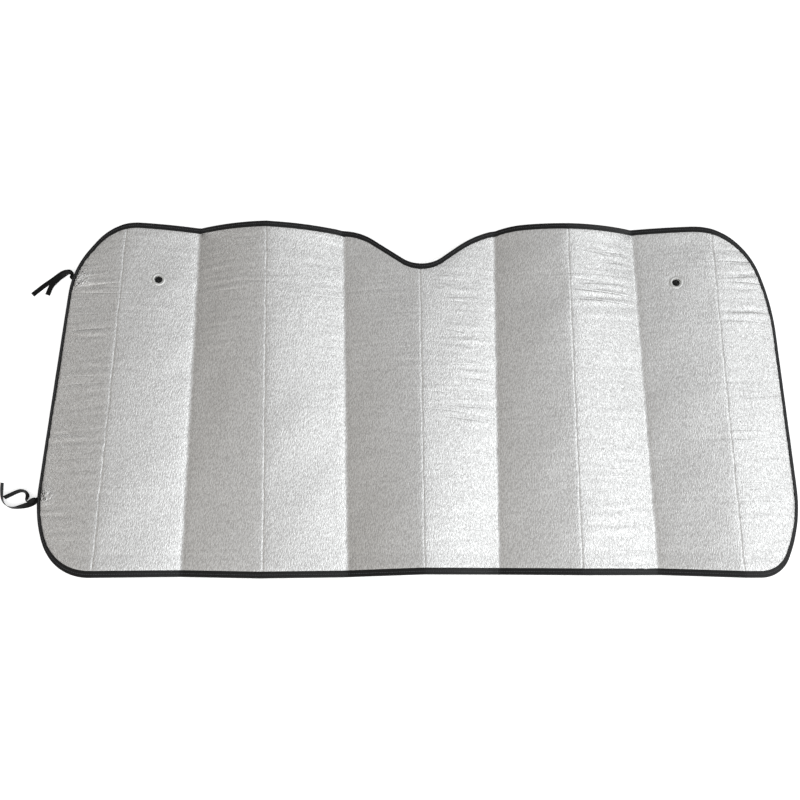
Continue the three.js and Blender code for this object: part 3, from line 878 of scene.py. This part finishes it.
def make_revolved(name, profile, side, material, node):
    """A closed profile of [radius, height] turned round an eyelet's axis, square on the crimped sheet."""
    x, y, z, slope = EYELET_SEATS[side]
    tilt = math.atan(slope)
    angle = 2 * math.pi * np.arange(REVOLVE_SIDES)[:, None] / REVOLVE_SIDES
    radius, height = np.array(profile).T[:, None, :]
    local_x = radius * np.cos(angle)
    local_y = radius * np.sin(angle)
    local_z = height + 0 * angle
    points = to_frame(
        x + local_x * math.cos(tilt) - local_z * math.sin(tilt),
        y + local_y,
        z + local_x * math.sin(tilt) + local_z * math.cos(tilt),
    )
    ring = new_piece(name, points.reshape(-1, 3), ring_quads(REVOLVE_SIDES, len(profile)), material)
    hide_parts(node)
    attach(ring, "root")
    return ring


def arc_profile(centre_radius, centre_height, half_width, half_height, first, last, steps):
    """Points of an ellipse's arc in the section of a revolved piece."""
    angle = np.radians(np.linspace(first, last, steps))
    return list(zip(centre_radius + half_width * np.cos(angle), centre_height + half_height * np.sin(angle)))


def make_eyelets(material):
    """Both eyelets with their washers: a domed flange, a barrel and a lip rolled out under the washer."""
    seat = CRIMPED_THICKNESS / 2 + 0.1 * MM
    barrel = EYELET_BORE_RADIUS + EYELET_WALL
    lip_top = -CRIMPED_THICKNESS / 2 - SEAT_GAP - WASHER_THICKNESS - SEAT_GAP
    middle = (FLANGE_RADIUS + EYELET_BORE_RADIUS) / 2
    half = (FLANGE_RADIUS - EYELET_BORE_RADIUS) / 2
    dome = arc_profile(middle, seat + 0.3 * MM, half, FLANGE_HEIGHT, 0, 180, 17)
    lip = [(EYELET_BORE_RADIUS, lip_top)]
    lip += arc_profile(barrel + 0.3 * MM, lip_top, LIP_WIDTH, LIP_THICKNESS, 200, 360, 9)
    eyelet = dome + lip + [(barrel, lip_top + 0.05 * MM), (barrel, seat), (FLANGE_RADIUS - 0.3 * MM, seat)]
    under = -CRIMPED_THICKNESS / 2 - 0.1 * MM - WASHER_THICKNESS / 2
    inner = barrel + SEAT_GAP
    washer = arc_profile(WASHER_RADIUS - 0.3 * MM, under, 0.3 * MM, WASHER_THICKNESS / 2, -90, 90, 7)
    washer += arc_profile(inner + 0.2 * MM, under, 0.2 * MM, WASHER_THICKNESS / 2, 90, 270, 7)
    pieces = []
    for side in EYELET_SEATS:
        pieces.append(make_revolved("eyelet_ring_" + side, eyelet, side, material, "eyelet_" + side))
        pieces.append(make_revolved("eyelet_back_" + side, washer, side, material, "eyelet_washer_" + side))
    return pieces


# Ties


def curve_through(stations, shares):
    """Centripetal Catmull-Rom curve through stations, at shares from 0 to 1 of their count."""
    stations = np.asarray(stations, float)
    padded = np.concatenate([2 * stations[:1] - stations[1:2], stations, 2 * stations[-1:] - stations[-2:-1]])
    at = shares * (len(stations) - 1)
    first = np.minimum(at.astype(int), len(stations) - 2)
    t = (at - first)[:, None]
    p0, p1, p2, p3 = (padded[first + k] for k in range(4))
    steps = (p1 - p0, p2 - p1, p3 - p2)
    d0, d1, d2 = (np.linalg.norm(step, axis=1, keepdims=True) ** 0.5 for step in steps)
    d1 = np.where(d1 < 1e-4, 1, d1)
    d0 = np.where(d0 < 1e-4, d1, d0)
    d2 = np.where(d2 < 1e-4, d1, d2)
    m1 = ((p1 - p0) / d0 - (p2 - p0) / (d0 + d1) + (p2 - p1) / d1) * d1
    m2 = ((p2 - p1) / d1 - (p3 - p1) / (d1 + d2) + (p3 - p2) / d2) * d1
    return p1 + m1 * t + (3 * (p2 - p1) - 2 * m1 - m2) * t ** 2 + (2 * (p1 - p2) + m1 + m2) * t ** 3


RIBBON_RINGS_PER_STATION = 9
RIBBON_PROFILE = np.array([
    [-1, -0.3], [-0.86, -1], [-0.55, -0.8], [0, -0.75], [0.55, -0.8], [0.86, -1], [1, -0.3],
    [1, 0.3], [0.86, 1], [0.55, 0.8], [0, 0.75], [-0.55, 0.8], [-0.86, 1], [-1, 0.3],
])


def make_ribbon(name, node, stations, material):
    """A tie: a flat section with thick selvedges, carried along a curve that turns as the widths say."""
    places = [to_frame(*(np.array(at) * MM)) for at, _ in stations]
    widths = [across for _, across in stations]
    shares = np.linspace(0, 1, (len(stations) - 1) * RIBBON_RINGS_PER_STATION + 1)
    centre = curve_through(places, shares)
    along = np.gradient(centre, axis=0)
    along /= np.linalg.norm(along, axis=1, keepdims=True)
    across = curve_through(widths, shares)
    across = across - (across * along).sum(axis=1, keepdims=True) * along
    across /= np.linalg.norm(across, axis=1, keepdims=True)
    face = np.cross(along, across)
    flat, stand = RIBBON_PROFILE.T
    points = (centre[:, None]
              + across[:, None] * (flat * RIBBON_WIDTH / 2)[None, :, None]
              + face[:, None] * (stand * RIBBON_THICKNESS / 2)[None, :, None])
    count = len(RIBBON_PROFILE)
    quads = ring_quads(len(points), count, closed_rings=False)
    ribbon = new_piece(name, points.reshape(-1, 3), quads, material)
    length = np.concatenate([[0], np.cumsum(np.linalg.norm(np.diff(centre, axis=0), axis=1))])
    give_uv(ribbon, np.repeat(length, count), np.tile((flat + 1) * RIBBON_WIDTH / 2, len(points)))
    close_ends(ribbon)
    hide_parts(node)
    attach(ribbon, "root")
    return ribbon, float(length[-1])


def tie_stations(edge_y, tack, heading, upper_tail, lower_tail):
    """Stations of one tie in mm: a tail, the fold tucked and sewn under the edge, and the other tail."""
    edge_x = edge_at(-1, edge_y * MM) / MM
    go_x, go_y = math.cos(math.radians(heading)), math.sin(math.radians(heading))
    tuck, spacing = RIBBON_TUCK / MM, RIBBON_SPACING / MM
    exit_reach = -(tack[0] + RIBBON_EXIT / MM) / go_x

    def tucked(reach, layer):
        x = edge_x + tack[0] + reach * go_x
        y = edge_y + tack[1] + reach * go_y
        step = 2
        height, low, high = (
            float(arch_height(np.array(at * MM), np.array(y * MM))) / MM for at in (x, x - step, x + step)
        )
        slope = (high - low) / (2 * step)
        below = (SHEET_THICKNESS + RIBBON_THICKNESS) / 2 / MM + (SEAT_GAP * 2 + TAPE_THICKNESS) / MM
        return [x, y, height - below - layer * spacing], [go_y, -go_x, go_y * slope]

    def hanging(entry):
        dx, dy, z, *across = entry
        return [edge_x + dx, edge_y + dy, z + FLOOR_CLEARANCE / MM], across

    middle = [(exit_reach, 0), (tuck, 0), (0, 0), (-tuck, 0), (-tuck - spacing / 2, 0.5),
              (-tuck, 1), (0, 1), (tuck, 1), (exit_reach, 1)]
    return ([hanging(entry) for entry in upper_tail[::-1]] + [tucked(*entry) for entry in middle]
            + [hanging(entry) for entry in lower_tail])


# Tails from the edge outwards, as place from the edge in mm and width direction, three numbers each.
UPPER_TIE = dict(
    edge_y=575, tack=[6.7, -2.8], heading=137,
    upper_tail=[
        [-4.8, 11.5, 7, 0.8, 0.3, 0.52],
        [-8, 15, 6.6, 0.5, 0.4, 0.77],
        [-13.5, 15.5, 6.2, 0, 0.45, 0.89],
        [-20, 12, 5.4, -0.35, 0.6, 0.72],
        [-28.5, 6.2, 3.8, -0.6, 0.75, 0.2],
        [-37, -2.5, 2.5, -0.72, 0.68, 0.05],
        [-44.5, -12, 1.9, -0.9, 0.4, 0],
        [-51, -30, 0.5, -0.97, 0.22, 0],
    ],
    lower_tail=[
        [-4.8, 13, 5.3, 0.75, 0.3, 0.58],
        [-8.5, 17.5, 5.6, 0.4, 0.4, 0.82],
        [-14.5, 18, 5.1, -0.1, 0.45, 0.89],
        [-22, 15.5, 4, -0.35, 0.65, 0.67],
        [-31.5, 10.8, 1.8, -0.55, 0.8, 0.2],
        [-45, 0.6, 0.8, -0.6, 0.79, 0],
        [-58, -9.5, 0.4, -0.62, 0.78, 0],
        [-80.3, -29.8, 0.4, -0.65, 0.76, 0],
    ],
)
LOWER_TIE = dict(
    edge_y=145, tack=[10, 4.3], heading=213.5,
    upper_tail=[
        [-8.5, -5, 5.4, -0.5, 0.7, 0.5],
        [-15, -8, 6.6, -0.25, 0.5, 0.83],
        [-18.8, -8, 7.4, 0.3, 0.2, 0.93],
        [-20, -3, 7, 0.85, 0, 0.53],
        [-19.6, 2.5, 6.4, 0.92, -0.1, 0.38],
        [-22.3, 8, 6, 0.7, 0.35, 0.62],
        [-27, 11.6, 5.6, 0.3, 0.5, 0.81],
        [-33.5, 12.6, 5.2, 0, 0.5, 0.87],
        [-41.5, 10.2, 4.8, -0.15, 0.45, 0.88],
        [-53, 4.7, 4.6, -0.2, 0.45, 0.87],
        [-63, -0.3, 4.6, -0.22, 0.44, 0.87],
    ],
    lower_tail=[
        [-9, -8.5, 1, -0.5, 0.86, 0.02],
        [-16, -12.2, 1.7, -0.45, 0.86, 0.2],
        [-24, -14.8, 3, -0.3, 0.8, 0.5],
        [-32.5, -17.2, 4.3, -0.15, 0.55, 0.82],
        [-41.5, -18.8, 4.9, -0.02, 0.32, 0.95],
        [-50.5, -17.8, 5, 0.05, 0.25, 0.97],
        [-59, -13.2, 5, 0.1, 0.15, 0.98],
        [-65, -5.5, 5, 0.08, 0.08, 0.99],
        [-67.8, 5, 5, -0.04, 0, 1],
        [-68.9, 16.5, 5, -0.12, 0, 0.99],
        [-69.5, 27.5, 5, -0.14, 0, 0.99],
    ],
)

# Materials

# Where the foil is crumpled by the ties' stitches, as place on the shade and radius in mm.
CRUMPLED_PLACES = [((-669, 574), 36), ((-694, 149), 30)]
CRUMPLED_HEIGHT = 12 * MM
# How fine the patterns are.
PEBBLES_PER_METRE = 540.0
DENTS_PER_METRE = 22.0
CRUMPLES_PER_METRE = 170.0
CREASES_PER_METRE = 46.0
FIBRES_PER_METRE = 2500.0
TOOL_MARKS_PER_METRE = 900.0


def dress_foil(tree):
    """Aluminised film, embossed by rollers: silver, with upright pebbles that catch the light one by one, and
    painted shade in their pits.
    """
    place = add_node(tree, "ShaderNodeTexCoord").outputs["Object"]
    # Pebbles about 2 mm wide, drawn out to 5 mm up the shade. The real ones are finer, too fine to show.
    upright = add_node(tree, "ShaderNodeMapping", {"Vector": place, "Scale": (1, 0.36, 1)})
    pebbles = add_node(tree, "ShaderNodeTexNoise", {
        "Vector": upright, "Scale": PEBBLES_PER_METRE, "Detail": 2.0, "Roughness": 0.6,
    })
    embossed = add_node(tree, "ShaderNodeBump", {"Height": pebbles, "Distance": 1.1 * MM})
    # Soft dents 30 to 60 mm across, where the foam has been squeezed in use.
    dents = add_node(tree, "ShaderNodeTexNoise", {"Vector": place, "Scale": DENTS_PER_METRE, "Detail": 2.0})
    dented = add_node(tree, "ShaderNodeBump", {"Height": dents, "Normal": embossed, "Distance": 1.0 * MM})
    # Creases about 6 mm apart where the ties are sewn through, dying out within 30 to 36 mm.
    crumples = add_node(tree, "ShaderNodeTexNoise", {
        "Vector": place, "Scale": CRUMPLES_PER_METRE, "Detail": 1.0, "Distortion": 1.0,
    })
    shares = []
    for (x, y), radius in CRUMPLED_PLACES:
        middle = to_frame(x * MM, y * MM, CRUMPLED_HEIGHT).tolist()
        reach = add_node(tree, "ShaderNodeVectorMath", {0: place, 1: middle}, operation="DISTANCE")
        shares.append(add_node(tree, "ShaderNodeMapRange", {
            "Value": reach.outputs["Value"], "From Min": radius * MM, "From Max": 0.0,
        }, interpolation_type="SMOOTHSTEP"))
    share = add_node(tree, "ShaderNodeMath", {0: shares[0], 1: shares[1]}, operation="MAXIMUM")
    creased = add_node(tree, "ShaderNodeMath", {0: crumples, 1: share}, operation="MULTIPLY")
    crumpled = add_node(tree, "ShaderNodeBump", {"Height": creased, "Normal": dented, "Distance": 5.5 * MM})
    # Thin creases straight across the panels, about 15 mm apart, where the sheet is worn.
    worn = add_node(tree, "ShaderNodeAttribute", attribute_name=WORN_ATTRIBUTE)
    level = add_node(tree, "ShaderNodeMapping", {"Vector": place, "Scale": (0.08, 1, 0)})
    ways = add_node(tree, "ShaderNodeTexNoise", {
        "Vector": level, "Scale": CREASES_PER_METRE, "Detail": 1.0, "Roughness": 0.4,
    })
    off = add_node(tree, "ShaderNodeMath", {0: ways, 1: 0.5}, operation="SUBTRACT")
    side = add_node(tree, "ShaderNodeMath", {0: off}, operation="ABSOLUTE")
    line = add_node(tree, "ShaderNodeMapRange", {
        "Value": side, "From Min": 0.0, "From Max": 0.06,
    }, interpolation_type="SMOOTHSTEP")
    pressed = add_node(tree, "ShaderNodeMath", {0: line, 1: worn.outputs["Fac"]}, operation="MULTIPLY")
    bump = add_node(tree, "ShaderNodeBump", {"Height": pressed, "Normal": crumpled, "Distance": 0.6 * MM})
    # The rollers leave the film duller in the pits. The pits are also coloured darker than the crowns, as
    # painted shade.
    gloss = add_node(tree, "ShaderNodeMapRange", {
        "Value": pebbles, "From Min": 0.3, "From Max": 0.7, "To Min": 0.28, "To Max": 0.2,
    })
    painted_pit_shade = add_node(tree, "ShaderNodeMapRange", {"Value": pebbles, "From Min": 0.38, "From Max": 0.60})
    colour = add_node(tree, "ShaderNodeMix", {
        "Factor": painted_pit_shade, "A": linear("#d2d1d0"), "B": linear("#f6f6f5"),
    }, data_type="RGBA")
    return add_node(tree, "ShaderNodeBsdfPrincipled", {
        "Metallic": 1.0, "Roughness": gloss, "Normal": bump,
        "Base Color": colour.outputs["Result"],
    })


def dress_weave(tree, colour, dark, rib, roughness, shine):
    """Woven cloth: ribs across the strip and a warp along it, in the strip's own UV map, which is in metres.

    A wave texture of scale 1 has a band every pi / 10 metres, so the scale is that over the width of a band.
    """
    place = add_node(tree, "ShaderNodeUVMap", uv_map="strip")
    ribs = add_node(tree, "ShaderNodeTexWave", {
        "Vector": place, "Scale": 2 * math.pi / 20 / rib, "Distortion": 1.0, "Detail": 1.0,
    }, bands_direction="X")
    warp = add_node(tree, "ShaderNodeTexWave", {
        "Vector": place, "Scale": 2 * math.pi / 20 / (0.7 * rib),
    }, bands_direction="Y")
    both = add_node(tree, "ShaderNodeMath", {0: ribs, 1: warp}, operation="MULTIPLY")
    bump = add_node(tree, "ShaderNodeBump", {"Height": both, "Distance": 0.12 * MM})
    # Painted shade: the dark colour lies down in the grooves, where the bump is low, and the other colour
    # lies on the raised yarn.
    groove_shaded = add_node(tree, "ShaderNodeMix", {
        "Factor": both, "A": linear(dark), "B": linear(colour),
    }, data_type="RGBA")
    return add_node(tree, "ShaderNodeBsdfPrincipled", {
        "Roughness": roughness, "Specular IOR Level": shine, "Normal": bump,
        "Base Color": groove_shaded.outputs["Result"],
    })


def dress_thread(tree, colour):
    """Spun thread: matt, with a soft grain, because its twist is too fine to show."""
    place = add_node(tree, "ShaderNodeTexCoord").outputs["Object"]
    grain = add_node(tree, "ShaderNodeTexNoise", {"Vector": place, "Scale": FIBRES_PER_METRE})
    bump = add_node(tree, "ShaderNodeBump", {"Height": grain, "Strength": 0.6, "Distance": 0.08 * MM})
    return add_node(tree, "ShaderNodeBsdfPrincipled", {
        "Base Color": linear(colour), "Roughness": 0.7, "Normal": bump,
    })


def dress_metal(tree):
    """Pressed aluminium, barrel polished: bright, with faint tool marks."""
    place = add_node(tree, "ShaderNodeTexCoord").outputs["Object"]
    marks = add_node(tree, "ShaderNodeTexNoise", {
        "Vector": place, "Scale": TOOL_MARKS_PER_METRE, "Detail": 2.0,
    })
    gloss = add_node(tree, "ShaderNodeMapRange", {
        "Value": marks, "From Min": 0.3, "From Max": 0.7, "To Min": 0.16, "To Max": 0.3,
    })
    bump = add_node(tree, "ShaderNodeBump", {"Height": marks, "Strength": 0.3, "Distance": 0.05 * MM})
    return add_node(tree, "ShaderNodeBsdfPrincipled", {
        "Base Color": linear("#e2e2e0"), "Metallic": 1.0,
        "Roughness": gloss, "Normal": bump,
    })


foil_material = new_material("aluminised film, embossed, over foam", dress_foil)
# Each cloth's second colour is the painted shade in its grooves.
tape_material = new_material("black woven polypropylene tape", dress_weave, "#060607", "#020203",
                             rib=1.1 * MM, roughness=0.28, shine=0.35)
thread_material = new_material("grey polyester sewing thread", dress_thread, "#5a5c60")
tack_material = new_material("black polyester sewing thread", dress_thread, "#101113")
ribbon_material = new_material("black woven polyester ribbon", dress_weave, "#08080a", "#030303",
                               rib=0.9 * MM, roughness=0.4, shine=0.18)
metal_material = new_material("bright pressed aluminium", dress_metal)

# Pieces

foil = make_foil(foil_material)
binding = make_binding(tape_material)
stitches = make_binding_stitches(thread_material)
tacks = make_tack_stitches(tack_material)
eyelets = make_eyelets(metal_material)
ties = [
    make_ribbon("ribbon_" + side, "tie_" + side, tie_stations(**layout), ribbon_material)
    for side, layout in (("upper", UPPER_TIE), ("lower", LOWER_TIE))
]
